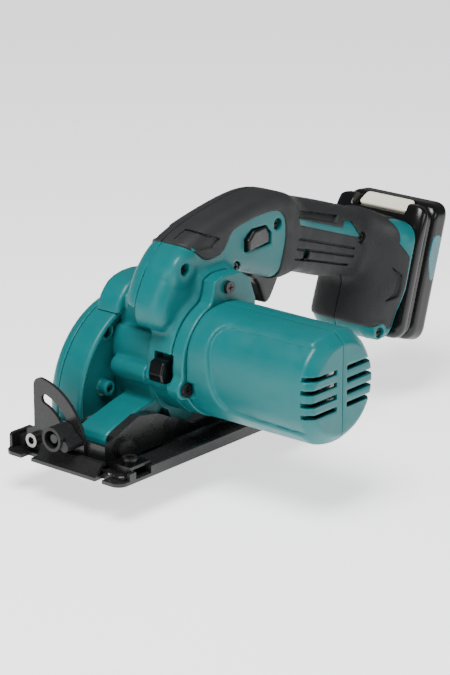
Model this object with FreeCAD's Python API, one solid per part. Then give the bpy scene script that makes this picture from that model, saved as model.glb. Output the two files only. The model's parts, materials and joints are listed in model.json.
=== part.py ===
"""Compact battery circular saw: motor on the left, blade on the right, slide battery behind the handle.

Frame: millimetres, +X forward (the way the saw cuts), +Y to the left (motor side), +Z up.
The origin is in the sole of the base, in the middle of its length.
The saw stands at a depth of cut of about 20 mm, square to the base, with its lower guard closed.
"""
import FreeCAD, Part
import math
import os

V = FreeCAD.Vector

# ---------------------------------------------------------------- driving dimensions
# base
base_front, base_rear = 86.0, -86.0
base_right, base_left = -44.0, 42.0
sheet = 2.0
rim_height = 6.0
slot_front, slot_rear = 54.0, -48.0
slot_right, slot_left = -35.0, -8.5
ridge_right, ridge_left = -20.0, 24.0
fence_slot_width, fence_slot_height = 12.0, 4.6
fence_x = 67.0

# bevel joint: an axis along X, just above the sole and under the blade
bevel_y, bevel_z = -28.5, 9.0
bevel_lug_radius = 6.0
bevel_pin_radius = 3.0
quadrant_x, quadrant_radius = 74.0, 36.0
stud_radius, stud_track, stud_angle = 2.5, 25.5, 20.0
bevel_travel = 45.0

# depth joint: an axis along Y at the front
depth_x, depth_z = 59.0, 10.0
depth_pin_radius = 4.0
arm_right, arm_left = -8.0, 13.4
depth_down, depth_up = 4.5, 22.0
depth_guide_radius = 120.0
depth_bolt_elevation = 14.0

# blade, spindle and gear train
axis_x, axis_z = 2.0, 22.0
blade_y, blade_radius, blade_thickness, blade_bore = -28.0, 42.5, 1.2, 7.5
blade_teeth = 20
motor_x, motor_z = -3.0, 50.0
module_fast, module_slow = 0.8, 0.9
motor_teeth, idler_large_teeth, idler_small_teeth, spindle_teeth = 10, 36, 10, 24
run = 0.05                      # radial running clearance of a shaft in its hole

# casing
case_radius, case_wall = 54.5, 3.0
case_right, case_seam, case_left = -39.0, -30.0, -14.0
case_bottom = 14.0
guard_radius, guard_wall = 48.0, 1.6
guard_right, guard_left = -34.6, -21.4
guard_boss_radius = 18.0
flange_y0, flange_y1, flange_radius = 12.0, 38.0, 33.0
cover_end_y, cover_end_half = 121.0, 26.5
shell_wall = 2.6

# handle and foot
handle_mid_y, grip_half, head_half = 7.5, 16.0, 18.0
rubber = 1.5
foot_half, foot_mid_y = 28.0, 8.5
lean, top_lean = 17.0, 5.0
battery_mid_y, battery_half = 8.5, 33.0
battery_top, battery_height, battery_depth = (-180.0, 91.0), 73.0, 28.0
rail_depth = 9.0

screw_radius = 1.5


# ---------------------------------------------------------------- helpers
def box(x0, x1, y0, y1, z0, z1):
    return Part.makeBox(x1 - x0, y1 - y0, z1 - z0, V(x0, y0, z0))


def rod(axis, centre, start, end, radius):
    """Cylinder along X, Y or Z from start to end; centre holds the other two coordinates in order."""
    a, b = centre
    place = {"x": V(start, a, b), "y": V(a, start, b), "z": V(a, b, start)}[axis]
    way = {"x": V(1, 0, 0), "y": V(0, 1, 0), "z": V(0, 0, 1)}[axis]
    return Part.makeCylinder(radius, end - start, place, way)


def tube(axis, centre, start, end, outer, inner):
    return rod(axis, centre, start, end, outer).cut(rod(axis, centre, start - 1, end + 1, inner))


def fuse(shapes):
    result = shapes[0]
    for shape in shapes[1:]:
        result = result.fuse(shape)
    return result.removeSplitter()


def at(plane, u, v, w):
    """Point with in-plane coordinates u, v and out-of-plane w for a sketch in the xz, yz or xy plane."""
    return {"xz": V(u, w, v), "yz": V(w, u, v), "xy": V(u, v, w)}[plane]


def corner(before, point, after, radius):
    """Start, middle and end of the arc that rounds one corner; a sharp corner gives its own point three times."""
    a = (before[0] - point[0], before[1] - point[1])
    b = (after[0] - point[0], after[1] - point[1])
    la, lb = math.hypot(*a), math.hypot(*b)
    ua, ub = (a[0] / la, a[1] / la), (b[0] / lb, b[1] / lb)
    half = 0.5 * math.acos(max(-1.0, min(1.0, ua[0] * ub[0] + ua[1] * ub[1])))
    want = point[2] if len(point) > 2 else radius
    reach = min(want / math.tan(half), 0.47 * la, 0.47 * lb)
    if reach < 0.05:
        return (point[:2],) * 3
    r = reach * math.tan(half)
    bis = (ua[0] + ub[0], ua[1] + ub[1])
    depth = (r / math.sin(half) - r) / math.hypot(*bis)
    return ((point[0] + ua[0] * reach, point[1] + ua[1] * reach),
            (point[0] + bis[0] * depth, point[1] + bis[1] * depth),
            (point[0] + ub[0] * reach, point[1] + ub[1] * reach))


def sketch(plane, points, radius, level):
    """Closed wire through 2D points with rounded corners; a point's own third value overrides the radius."""
    count = len(points)
    corners = [corner(points[i - 1], points[i], points[(i + 1) % count], radius) for i in range(count)]
    edges = []
    for i in range(count):
        first, middle, last = [at(plane, *p, level) for p in corners[i]]
        following = at(plane, *corners[(i + 1) % count][0], level)
        if first.distanceToPoint(last) > 0.01:
            edges.append(Part.Arc(first, middle, last).toShape())
        if last.distanceToPoint(following) > 1e-4:
            edges.append(Part.makeLine(last, following))
    return Part.Wire(edges)


def prism(plane, points, start, end, radius=0.0, shrink=0.0):
    """Rounded polygon pulled out of its plane from start to end, its outline shrunk if asked."""
    wire = sketch(plane, points, radius, start)
    if shrink:
        wire = Part.Face(wire).makeOffset2D(-shrink).OuterWire
    way = at(plane, 0, 0, end - start)
    return Part.Face(wire).extrude(way)


def polar(radius, degrees, centre=(0.0, 0.0)):
    t = math.radians(degrees)
    return centre[0] + radius * math.cos(t), centre[1] + radius * math.sin(t)


def sector(centre, r0, r1, a0, a1, y0, y1):
    """Part of a flat ring about an axis along Y, from angle a0 to a1 in the XZ plane."""
    def arc(r, start, end):
        mid = 0.5 * (start + end)
        p = [polar(r, a, centre) for a in (start, mid, end)]
        return Part.Arc(*[V(x, y0, z) for x, z in p]).toShape()
    outer, inner = arc(r1, a0, a1), arc(r0, a1, a0)
    ends = [Part.makeLine(outer.Vertexes[-1].Point, inner.Vertexes[0].Point),
            Part.makeLine(inner.Vertexes[-1].Point, outer.Vertexes[0].Point)]
    wire = Part.Wire([outer, ends[0], inner, ends[1]])
    return Part.Face(wire).extrude(V(0, y1 - y0, 0))


def gear(centre, module, teeth, y0, y1, phase):
    """Spur gear about an axis along Y with one tooth centred on the phase angle."""
    pitch = 0.5 * module * teeth
    step = 360.0 / teeth
    corners = []
    for i in range(teeth):
        middle = phase + i * step
        for radius, share in ((pitch - 1.15 * module, -0.34), (pitch, -0.20), (pitch + 0.8 * module, -0.09),
                              (pitch + 0.8 * module, 0.09), (pitch, 0.20), (pitch - 1.15 * module, 0.34)):
            x, z = polar(radius, middle + share * step, centre)
            corners.append(V(x, y0, z))
    wire = Part.makePolygon(corners + corners[:1])
    return Part.Face(wire).extrude(V(0, y1 - y0, 0))


def leaned(x0, x1, y0, y1, z0, z1):
    """Box in the battery's leaning frame: x rearward-to-forward from the joint face, z up the slide."""
    shape = box(x0, x1, y0, y1, z0, z1)
    return lean_shape(shape)


def lean_shape(shape):
    shape = shape.copy()
    shape.rotate(V(0, 0, 0), V(0, 1, 0), -lean)
    shape.translate(V(battery_top[0], 0, battery_top[1]))
    return shape


def leaned_prism(points, start, end, radius, shrink=0.0):
    return lean_shape(prism("xy", points, start, end, radius, shrink))


parts = {}


# ---------------------------------------------------------------- base
def make_base():
    floor = prism("xy", [(base_rear, base_right), (base_front, base_right), (base_front, base_left),
                         (base_rear, base_left)], 0, sheet, 6.0)
    floor = floor.cut(prism("xy", [(slot_rear, slot_right), (slot_front, slot_right), (slot_front, slot_left),
                                   (slot_rear, slot_left)], -1, sheet + 1, 4.0))
    notch = box(80, base_front + 1, -30.6, -23.0, -1, sheet + 1)
    gap = box(80, base_front + 1, ridge_left, ridge_left + 5, -1, sheet + 1)
    floor = floor.cut(notch).cut(gap)
    left_rim = box(base_rear + 8, base_front - 8, base_left - sheet, base_left, 0, rim_height)
    right_rim = box(base_rear + 8, base_front - 24, base_right, base_right + sheet, 0, rim_height)
    rear_rim = box(base_rear, base_rear + sheet, base_right + 8, base_left - 8, 0, rim_height)
    horn = prism("xz", [(base_front - 24, 0), (base_front - 5, 0), (base_front - 5, 10.5),
                        (base_front - 22, 10.5)], base_right, base_right + sheet, 2.0)
    ridge = prism("xz", [(86, 0), (86, 1.6), (80.2, 8.4), (77, 8.4), (77, 6.6), (79.4, 6.6),
                         (83.6, 1.9), (83.6, 0)], ridge_right, ridge_left, 0.3)
    half = 0.5 * fence_slot_width
    passage = box(fence_x - half, fence_x + half, base_left - 6, base_left + 1, sheet, sheet + fence_slot_height)
    passage = passage.fuse(passage.translated(V(0, base_right - base_left + 2, 0)))
    body = fuse([floor, left_rim, right_rim, rear_rim, horn, ridge]).cut(passage)
    rivets = [rod("z", p, -1, sheet + 1, 1.5) for p in base_rivet_places]
    for hole in rivets:
        body = body.cut(hole)
    parts["base_plate"] = body


base_rivet_places = [(79.5, -10.0), (79.5, 4.0), (-82.45, -35.0), (-82.45, -22.0),
                     (56.2, 28.5), (56.2, 36.0), (77.8, 28.5), (77.8, 36.0)]


def make_quadrant():
    c = (bevel_y, bevel_z)
    disc = rod("x", c, quadrant_x, quadrant_x + sheet, quadrant_radius)
    keep = box(quadrant_x - 1, quadrant_x + 3, c[0] - 1.2, 7.0, 2, 60)
    lug = prism("yz", [(c[0] - 7, sheet), (6.8, sheet), (6.8, 12), (c[0] - 7, 14)],
                quadrant_x, quadrant_x + sheet, 1.0)
    arc = disc.common(keep)
    tip = [e for e in arc.Edges if all(v.Z > 40 and v.Y < c[0] - 1.0 for v in e.Vertexes) and e.Length < 3.0]
    arc = arc.makeFillet(5.0, tip)
    plate = fuse([arc, lug, rod("x", c, quadrant_x, quadrant_x + sheet, 7.0)])
    plate = plate.cut(box(70, 80, -60, 60, -50, sheet))
    track = [polar(stud_track, a, c) for a in (16.0, 44.0, 73.0)]
    hw = stud_radius + 0.35
    ends = [rod("x", p, 70, 80, hw) for p in (track[0], track[2])]

    def ring(radius, order):
        pts = [polar(radius, a, c) for a in order]
        return Part.Arc(*[V(70, y, z) for y, z in pts]).toShape()
    outer, inner = ring(stud_track + hw, (16.0, 44.0, 73.0)), ring(stud_track - hw, (73.0, 44.0, 16.0))
    join = [Part.makeLine(outer.Vertexes[-1].Point, inner.Vertexes[0].Point),
            Part.makeLine(inner.Vertexes[-1].Point, outer.Vertexes[0].Point)]
    arc_slot = Part.Face(Part.Wire([outer, join[0], inner, join[1]])).extrude(V(10, 0, 0))
    for cutter in ends + [arc_slot, rod("x", c, 70, 80, bevel_pin_radius)]:
        plate = plate.cut(cutter)
    foot = box(quadrant_x, 83.0, -14.0, 6.8, sheet, sheet + 1.6)
    foot = foot.common(prism("xz", [(70, 0), (84.4, 0), (79.6, 6.0), (70, 6.0)], -30, 30))
    plate = plate.fuse(foot).removeSplitter()
    for y in (-10.0, 4.0):
        plate = plate.cut(rod("z", (79.5, y), 0, 6, 1.5))
    parts["bevel_quadrant"] = plate

    rear = fuse([box(-80, -78, c[0] - 8, c[0] + 8, sheet, 14),
                 rod("x", c, -80, -78, 7.0), box(-84.0, -80, c[0] - 8.8, c[0] + 8.8, sheet, sheet + 1.6)])
    rear = rear.cut(rod("x", c, -90, -70, bevel_pin_radius))
    for y in (-35.0, -22.0):
        rear = rear.cut(rod("z", (-82.45, y), 0, 6, 1.5))
    parts["rear_bevel_bracket"] = rear

    # straps that the rip fence slides under, one at each side
    def strap(y0, y1, threaded):
        half = 0.5 * fence_slot_width
        top = sheet + fence_slot_height
        shape = box(fence_x - half - sheet, fence_x + half + sheet, y0, y1, sheet, top + 1.6)
        shape = shape.cut(box(fence_x - half, fence_x + half, y0 - 1, y1 + 1, sheet - 1, top))
        if threaded:
            mid = 0.5 * (y0 + y1)
            feet = box(fence_x - half - 7.4, fence_x + half + 7.4, y0, y1, sheet, sheet + 1.4)
            shape = shape.fuse(feet.cut(box(fence_x - half, fence_x + half, y0 - 1, y1 + 1, 0, top)))
            shape = shape.fuse(rod("z", (fence_x, mid), top, top + 4.0, 4.5)).removeSplitter()
            shape = shape.cut(rod("z", (fence_x, mid), top - 1, top + 5, fence_thread_radius))
            for x, y in base_rivet_places[4:]:
                shape = shape.cut(rod("z", (x, y), 0, 6, 1.5))
        return shape
    parts["fence_straps"] = Part.makeCompound([strap(25.0, 39.5, True),
                                               strap(base_right + sheet, base_right + 6.0, False)])

    rivets = []
    tops = [sheet + 1.6] * 4 + [sheet + 1.4] * 4
    for place, top in zip(base_rivet_places, tops):
        rivets.append(rod("z", place, 0.2, top, 1.5).fuse(rod("z", place, top, top + 0.8, 2.4)).removeSplitter())
    parts["base_rivets"] = Part.makeCompound(rivets)

    front_pin = fuse([rod("x", c, 70.4, 80.0, bevel_pin_radius), rod("x", c, 69.6, 70.4, 4.2),
                      rod("x", c, 76.0, 80.0, 4.0)])
    front_pin = front_pin.cut(rod("x", c, 74.0, 81.0, 2.1))
    rear_pin = fuse([rod("x", c, -81.4, -74.6, bevel_pin_radius), rod("x", c, -74.6, -73.4, 4.2),
                     rod("x", c, -82.2, -80.0, 4.2)])
    parts["bevel_pivots"] = Part.makeCompound([front_pin, rear_pin])


fence_thread_radius = 2.1


# ---------------------------------------------------------------- tilting bracket
wall_y0, wall_y1 = 18.0, 20.0
wall_top = [(73.5, 15.0), (66.0, 17.0), (59.0, 20.5), (46.0, 25.0), (31.0, 22.5), (1.0, 8.6), (-75.5, 8.6)]


def make_tilt():
    c = (bevel_y, bevel_z)
    low = 3.8
    stud = polar(stud_track, stud_angle, c)
    front = fuse([prism("yz", [(c[0], low), (wall_y1, low), (wall_y1, 15.0), (c[0], 15.0)], 71, 73.5, 0.5),
                  rod("x", c, 71, 73.5, bevel_lug_radius), rod("x", stud, 71, 73.5, 6.5)])
    front = front.cut(rod("x", c, 60, 80, bevel_pin_radius + run)).cut(rod("x", stud, 60, 80, stud_radius))
    profile = wall_top + [(-75.5, low), (73.5, low)]
    wall = prism("xz", profile, wall_y0, wall_y1, 3.0)
    inner_profile = [(71.0, 13.0), (66.0, 15.0), (59.0, 18.5), (46.0, 23.0), (31.0, 20.5), (-1.0, 6.2), (-1.0, 0),
                     (71.0, 0)]
    lip = prism("xz", [p for p in wall_top[1:6]] + [(1.0, 0.0), (66.0, 0.0)], 14.2, wall_y0, 3.0)
    lip = lip.cut(prism("xz", inner_profile, 13.0, wall_y0 + 1, 2.0)).cut(box(-100, 100, 13, 19, -5, 8))
    ear_right = prism("xz", [(71.5, low), (71.5, 15.0), (64, 19.0), (53, 19.0), (51, 12), (51, low)],
                      arm_right - 3.5, arm_right - 1.0, 2.0)
    rear = fuse([box(-77.5, -75.5, c[0], wall_y1, low, 12.0), rod("x", c, -77.5, -75.5, bevel_lug_radius)])
    rear = rear.cut(rod("x", c, -90, -70, bevel_pin_radius + run))
    body = fuse([front, wall, lip, ear_right, rear])
    body = body.cut(rod("y", (depth_x, depth_z), -30, 30, depth_pin_radius))
    for place in guide_rivet_places:
        body = body.cut(rod("x", place, -90, -70, 1.5))
    parts["tilt_bracket"] = body

    parts["depth_pivot_bolt"] = fuse([
        rod("y", (depth_x, depth_z), arm_right - 3.5, wall_y1 + 1.0, depth_pin_radius),
        rod("y", (depth_x, depth_z), wall_y1, wall_y1 + 1.0, 6.5),
        rod("y", (depth_x, depth_z), wall_y1 + 1.0, wall_y1 + 3.8, 5.5),
        rod("y", (depth_x, depth_z), arm_right - 6.0, arm_right - 3.5, 6.0)])

    parts["bevel_clamp_stud"] = fuse([rod("x", stud, 69.0, 87.0, stud_radius), rod("x", stud, 68.0, 71.0, 4.5)])

    # slotted plate behind the blade case that the depth bolt slides along
    pivot = (depth_x, depth_z)
    lo, hi = 180 - depth_bolt_elevation + depth_down + 2.5, 180 - depth_bolt_elevation - depth_up - 2.5
    y0, y1 = guide_y, guide_y + sheet
    plate = sector(pivot, depth_guide_radius - 6.5, depth_guide_radius + 6.5, hi - 3.0, lo + 3.0, y0, y1)
    slot = sector(pivot, depth_guide_radius - 2.8, depth_guide_radius + 2.8, hi, lo, y0 - 1, y1 + 1)
    foot = prism("xz", [(-75.5, 4.2), (-56.0, 6.0), (-54.5, 20.0), (-57.0, 31.0), (-70.0, 31.0),
                        (-75.5, 14.0)], y0, y1, 0.5)
    flange = box(-75.5, -73.9, y0, y0 + 12.0, 4.2, 13.0)
    plate = fuse([plate, foot, flange]).cut(slot)
    for angle in (hi, lo):
        plate = plate.cut(rod("y", polar(depth_guide_radius, angle, pivot), y0 - 1, y1 + 1, 2.8))
    for place in guide_rivet_places:
        plate = plate.cut(rod("x", place, -90, -70, 1.5))
    parts["depth_guide"] = plate
    rivets = [rod("x", p, -78.3, -73.1, 1.5).fuse(rod("x", p, -73.9, -73.0, 2.4)).removeSplitter()
              for p in guide_rivet_places]
    parts["bracket_rivets"] = Part.makeCompound(rivets)


guide_y = -20.0
guide_rivet_places = [(-14.0, 6.6), (-10.0, 10.4)]


def make_bevel_knob():
    stud = polar(stud_track, stud_angle, (bevel_y, bevel_z))
    barrel = fuse([rod("x", stud, 76.5, 89.0, 6.8), rod("x", (stud[0] + 8.2, stud[1] - 2.6), 76.5, 88.0, 3.0),
                   prism("yz", [(stud[0], stud[1] - 6), (stud[0] + 8.5, stud[1] - 5.5), (stud[0] + 9.5, stud[1] + .3),
                                (stud[0] + 1, stud[1] + 5.5)], 76.5, 86.0, 1.0)])
    barrel = barrel.cut(rod("x", stud, 82.0, 90.0, 5.0)).cut(rod("x", stud, 70, 90, stud_radius + run))
    parts["bevel_clamp_knob"] = barrel


# ---------------------------------------------------------------- casing
def below_case(height):
    """Everything under the open mouth of the blade case, level with the base at the greatest depth of cut."""
    space = box(-120, 120, -60, 60, -60, height)
    space.rotate(V(depth_x, 0, depth_z), V(0, 1, 0), depth_down)
    return space


def drum(y0, y1, radius):
    return rod("y", (axis_x, axis_z), y0, y1, radius).cut(below_case(case_bottom))


def make_blade_case():
    cover = drum(case_right, case_seam, case_radius)
    edge = [e for e in cover.Edges if e.Curve.TypeId == "Part::GeomCircle"
            and abs(e.BoundBox.YMax - case_right) < 0.01 and e.Length > 60]
    cover = cover.makeFillet(4.0, edge)
    cover = cover.cut(drum(case_right + case_wall, case_seam + 1, case_radius - case_wall))
    cover = cover.cut(rod("y", (axis_x, axis_z), case_right - 1, case_seam, 17.0))
    case = drum(case_seam, case_left, case_radius)
    case = case.cut(drum(case_seam - 1, case_left - case_wall, case_radius - case_wall))
    case = case.cut(rod("y", (axis_x, axis_z), -30, 0, 24.0))
    lug = polar(depth_guide_radius, 180 - depth_bolt_elevation, (depth_x, depth_z))
    ear = fuse([prism("xz", [(lug[0] - 3, lug[1] - 7), (lug[0] + 16, lug[1] - 12), (lug[0] + 18, lug[1] + 14),
                             (lug[0] - 3, lug[1] + 7)], guide_y + sheet + 0.4, case_left, 0.5),
                rod("y", lug, guide_y + sheet + 0.4, case_left, 7.0)])
    ear = ear.cut(rod("y", (axis_x, axis_z), -60, 0, case_radius - case_wall))
    case = case.fuse(ear).removeSplitter().cut(rod("y", lug, -30, 0, 2.5))
    for x, z in case_screw_places:
        case = case.fuse(rod("y", (x, z), case_seam, case_left, 4.0)).cut(rod("y", (x, z), -31, -13, screw_radius))
        case = case.cut(rod("y", (axis_x, axis_z), case_seam - 1, case_left - case_wall, case_radius - case_wall))
        cover = cover.fuse(rod("y", (x, z), case_right + 3, case_seam, 4.0))
        cover = cover.cut(rod("y", (axis_x, axis_z), case_right + case_wall, case_seam + 1,
                              case_radius - case_wall))
        cover = cover.cut(rod("y", (x, z), case_right - 1, -29, screw_radius))
    parts["blade_case_cover"] = cover.removeSplitter()
    parts["blade_case"] = case.removeSplitter()


case_screw_places = [polar(case_radius + 0.4, a, (axis_x, axis_z)) for a in (84.0, 135.0)]


# ---------------------------------------------------------------- gearbox
def idler_place():
    """Centre of the intermediate gear, in mesh with the motor pinion and the spindle gear."""
    near = 0.5 * module_fast * (motor_teeth + idler_large_teeth)
    far = 0.5 * module_slow * (idler_small_teeth + spindle_teeth)
    dx, dz = axis_x - motor_x, axis_z - motor_z
    gap = math.hypot(dx, dz)
    along = (near ** 2 - far ** 2 + gap ** 2) / (2 * gap)
    aside = math.sqrt(near ** 2 - along ** 2)
    return motor_x + (along * dx - aside * dz) / gap, motor_z + (along * dz + aside * dx) / gap


idler = idler_place()
gearbox_y0, gearbox_y1 = case_left, 10.0
inner_bearing = (-2.6, 3.6)     # first face and width of the spindle's bearing beside the drive gear
cover_plate_y1 = 14.0


def make_gearbox():
    s, m = (axis_x, axis_z), (motor_x, motor_z)
    outer = fuse([rod("y", s, gearbox_y0, gearbox_y1, 14.0), rod("y", idler, gearbox_y0, gearbox_y1, 18.5),
                  rod("y", m, gearbox_y0, gearbox_y1, 24.0),
                  box(s[0] - 14, idler[0] + 18, gearbox_y0, gearbox_y1, s[1], idler[1])])
    arm = prism("xz", [(depth_x, 2.6), (depth_x + 7, 4.0), (depth_x + 7.4, 12.0), (depth_x + 2, 18.2),
                       (33.0, 25.0), (20.0, 30.0), (10.0, 30.0), (8.0, 9.5), (20, 9.0), (45, 4.2)],
                arm_right, arm_left, 2.5)
    boss = rod("y", s, -23.4, gearbox_y0, guard_boss_radius)
    rib = rod("y", (28.0, 62.0), case_left, 14.0, 5.0)
    eye = rod("y", (30.0, 28.0), case_left, 2.0, 4.2)
    post = rod("y", (31.0, 66.0), case_left, 0.0, 4.5)
    web = prism("xz", [(14, 45), (28, 57), (31, 70), (26, 74), (0, 72)], case_left, 4.0, 1.0)
    body = fuse([outer, arm, boss, rib, eye, post, web])
    body = body.cut(rod("y", (depth_x, depth_z), -20, 20, depth_pin_radius + run))
    for centre, radius in ((s, 12.0), (idler, 15.8), (m, 11.0)):
        body = body.cut(rod("y", centre, gearbox_y0 + 3.0, gearbox_y1 + 1, radius))
    body = body.cut(rod("y", s, -23.5 - 1, -16.4, 11.0)).cut(rod("y", s, -30, -10.5, 8.0))
    y0, y1 = inner_bearing[0], inner_bearing[0] + inner_bearing[1]
    web_ring = tube("y", s, y0, y1, 12.4, 7.0).cut(rod("y", idler, y0 - 1, y1 + 1, 6.2))
    body = body.fuse(web_ring)
    body = body.cut(rod("y", idler, -12.6, 0, 4.0))
    for place, end in (((30.0, 28.0), 2.0), ((31.0, 66.0), 0.0)):
        body = body.cut(rod("y", place, end - 14, end + 1, screw_radius))
    plate = fuse([rod("y", s, gearbox_y1, cover_plate_y1, 13.5), rod("y", idler, gearbox_y1, cover_plate_y1, 18.0),
                  rod("y", m, gearbox_y1, cover_plate_y1, 24.0)])
    parts["gear_housing"] = body.cut(plate).removeSplitter()
    plate = plate.cut(rod("y", idler, 0, 30, 4.0))
    plate = plate.cut(rod("y", m, gearbox_y1 - 1, gearbox_y1 + 4.0 - 1.0, 9.5)).cut(rod("y", m, 0, 30, 5.0))
    parts["gear_cover"] = plate

    def ball_bearing(centre, y0, width, outer_r, inner_r):
        mid = 0.5 * (outer_r + inner_r)
        ball = min(0.36 * (outer_r - inner_r), 0.42 * width)
        groove = Part.makeTorus(mid, ball + 0.02, V(centre[0], y0 + 0.5 * width, centre[1]), V(0, 1, 0))
        rings = [tube("y", centre, y0, y0 + width, outer_r, mid + 0.45 * ball).cut(groove),
                 tube("y", centre, y0, y0 + width, mid - 0.45 * ball, inner_r).cut(groove)]
        balls = [Part.makeSphere(ball, V(centre[0] + mid * math.cos(a), y0 + 0.5 * width,
                                         centre[1] + mid * math.sin(a)))
                 for a in [k * math.pi / 4 for k in range(8)]]
        return rings + balls

    parts["ball_bearings"] = Part.makeCompound(
        ball_bearing(s, -23.4, 7.0, 11.0, 4.0 + run) + ball_bearing(s, *inner_bearing, 7.0, 4.0 + run)
        + ball_bearing(m, gearbox_y1, 3.0, 9.5, 2.5 + run) + ball_bearing(m, 109.6, 4.0, 9.5, 2.5 + run))
    parts["idler_bushes"] = Part.makeCompound([tube("y", idler, -12.6, -9.6, 4.0, 3.0 + run),
                                               tube("y", idler, gearbox_y1, cover_plate_y1, 4.0, 3.0 + run)])
    ring = tube("y", s, -24.6, -23.4, 20.5, 8.5)
    parts["guard_retainer"] = ring


def mesh_phases():
    """Rest angle of each gear's first tooth, so that the teeth are in mesh."""
    a = math.degrees(math.atan2(idler[1] - motor_z, idler[0] - motor_x))
    b = math.degrees(math.atan2(axis_z - idler[1], axis_x - idler[0]))
    rotor_phase = a
    large_phase = a + 180 + 180.0 / idler_large_teeth
    small_phase = b
    spindle_phase = b + 180 + 180.0 / spindle_teeth
    return rotor_phase, large_phase, small_phase, spindle_phase


def make_train():
    s, m = (axis_x, axis_z), (motor_x, motor_z)
    rotor_phase, large_phase, small_phase, spindle_phase = mesh_phases()
    parts["idler_gear"] = gear(idler, module_fast, idler_large_teeth, 2.0, 7.0, large_phase).cut(
        rod("y", idler, 0, 10, 3.0))
    parts["idler_shaft"] = fuse([rod("y", idler, -12.4, 20.5, 3.0), rod("y", idler, 15.5, 20.5, 8.0),
                                 gear(idler, module_slow, idler_small_teeth, -9.4, 1.8, small_phase)])
    for k in range(4):
        x, z = polar(8.0, 45 + 90 * k, idler)
        parts["idler_shaft"] = parts["idler_shaft"].cut(box(x - 1.6, x + 1.6, 15, 23, z - 1.6, z + 1.6))
    parts["drive_gear"] = gear(s, module_slow, spindle_teeth, -8.6, -3.0, spindle_phase).cut(
        rod("y", s, -20, 0, 4.0))

    parts["spindle"] = fuse([rod("y", s, -28.6, 1.2, 4.0), rod("y", s, -26.2, -24.8, 6.5),
                             rod("y", s, -28.6, -26.2, 5.0)]).cut(rod("y", s, -30.0, -18.0, 2.5))
    inner_flange = tube("y", s, -27.4, -26.2, 12.0, 5.0).fuse(tube("y", s, -28.6, -27.4, blade_bore, 5.0))
    parts["blade_flanges"] = Part.makeCompound([inner_flange.removeSplitter(), tube("y", s, -31.0, -28.6, 12.0, 2.6)])
    hexagon = [(axis_x + 5.8 * math.cos(math.radians(60 * k)), axis_z + 5.8 * math.sin(math.radians(60 * k)))
               for k in range(6)]
    parts["blade_bolt"] = fuse([prism("xz", hexagon, -34.5, -31.0, 0.3), rod("y", s, -31.0, -18.2, 2.5)])

    rim = blade_radius - 5.5
    half = 0.5 * blade_thickness
    disc = rod("y", s, blade_y - half, blade_y + half, rim)
    tooth_step = 360.0 / blade_teeth
    teeth = []
    for k in range(blade_teeth):
        a = k * tooth_step
        pts = [polar(rim - 1.0, a - 8.5, s), polar(blade_radius - 1.6, a - 6.0, s), polar(blade_radius - 0.6, a, s),
               polar(rim - 1.0, a + 0.5, s)]
        teeth.append(prism("xz", pts, blade_y - half, blade_y + half, 0.2))
        tip = [polar(blade_radius - 4.2, a - 0.6, s), polar(blade_radius - 0.4, a - 2.6, s),
               polar(blade_radius, a + 0.5, s), polar(blade_radius - 4.2, a + 1.0, s)]
        teeth.append(prism("xz", tip, blade_y - half - 0.25, blade_y + half + 0.25, 0.05))
    disc = fuse([disc] + teeth).cut(rod("y", s, -40, 0, blade_bore))
    for k in range(4):
        x, z = polar(rim - 7.0, 45 + 90 * k, s)
        disc = disc.cut(rod("y", (x, z), -40, 0, 1.6))
    parts["blade"] = disc


# ---------------------------------------------------------------- lower guard
def make_guard():
    s = (axis_x, axis_z)
    a0, a1 = -190.0, 6.0
    right = sector(s, 22.0, guard_radius, a0, a1, guard_right, guard_right + guard_wall)
    left = fuse([sector(s, 20.0, guard_radius, a0, a1, guard_left - guard_wall, guard_left),
                 tube("y", s, guard_left - guard_wall, guard_left, 24.0, guard_boss_radius + run)])
    rim = sector(s, guard_radius - guard_wall, guard_radius, a0, a1, guard_right, guard_left)
    body = fuse([right, left, rim])
    mid = 0.5 * (a0 + a1)
    window = sector(s, 30.0, 40.0, mid - 60, mid - 20, guard_right - 1, guard_right + guard_wall + 0.5)
    parts["lower_guard"] = body.cut(window)
    # thumb lever on the guard's right side, near its front edge
    parts["guard_spring"] = tube("y", s, guard_left + 1.2, guard_left + 2.6, 22.4, 20.8)


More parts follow.
